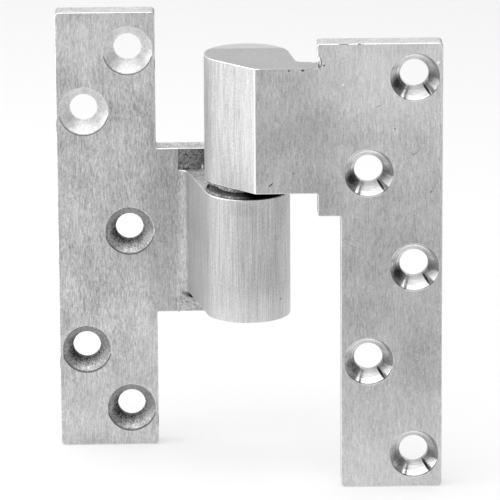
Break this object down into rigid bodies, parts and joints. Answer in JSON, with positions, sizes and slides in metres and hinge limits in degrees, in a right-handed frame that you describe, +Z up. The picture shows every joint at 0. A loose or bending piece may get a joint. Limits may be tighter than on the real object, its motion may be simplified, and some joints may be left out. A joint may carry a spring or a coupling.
{
  "type": "offset pivot hinge",
  "caption": "Offset intermediate door pivot hinge: two countersunk steel leaves, each with a knuckle, turning on a pin with a needle thrust bearing between them.",
  "frame": {"origin": "the pin's axis at the height of both leaves' bottom edges", "axes": "+Z up along the pin, +X towards the door leaf along the leaves, -Y out of the countersunk faces"},
  "size_m": [0.1068, 0.0483, 0.127],
  "materials": {
    "leaf_steel": "satin stainless steel, ground with an upright grain",
    "pin_steel": "ground and hardened",
    "bushing_bronze": "oil-filled sintered bronze",
    "race_steel": "hardened, oiled, dark grey",
    "cage_steel": "pressed sheet, oiled",
    "roller_steel": "ground"
  },
  "bodies": {
    "frame": {"frame_leaf": "leaf_steel", "pivot_pin": "pin_steel", "lower_race": "race_steel"},
    "door": {"door_leaf": "leaf_steel", "knuckle_bushing": "bushing_bronze", "upper_race": "race_steel"},
    "bearing": {"needle_cage": "cage_steel", "needle_rollers": "roller_steel"}
  },
  "joints": [
    {"name": "door_swing", "type": "hinge", "parent": "frame", "child": "door", "pos_m": [0, 0, 0], "axis": [0, 0, 1], "range_deg": [-180, 0]},
    {"name": "bearing_turn", "type": "hinge", "parent": "frame", "child": "bearing", "pos_m": [0, 0, 0.083], "axis": [0, 0, 1], "range_deg": [-90, 0]}
  ],
  "couplings": [
    {"joint": "bearing_turn", "follows": "door_swing", "ratio": 0.5}
  ]
}
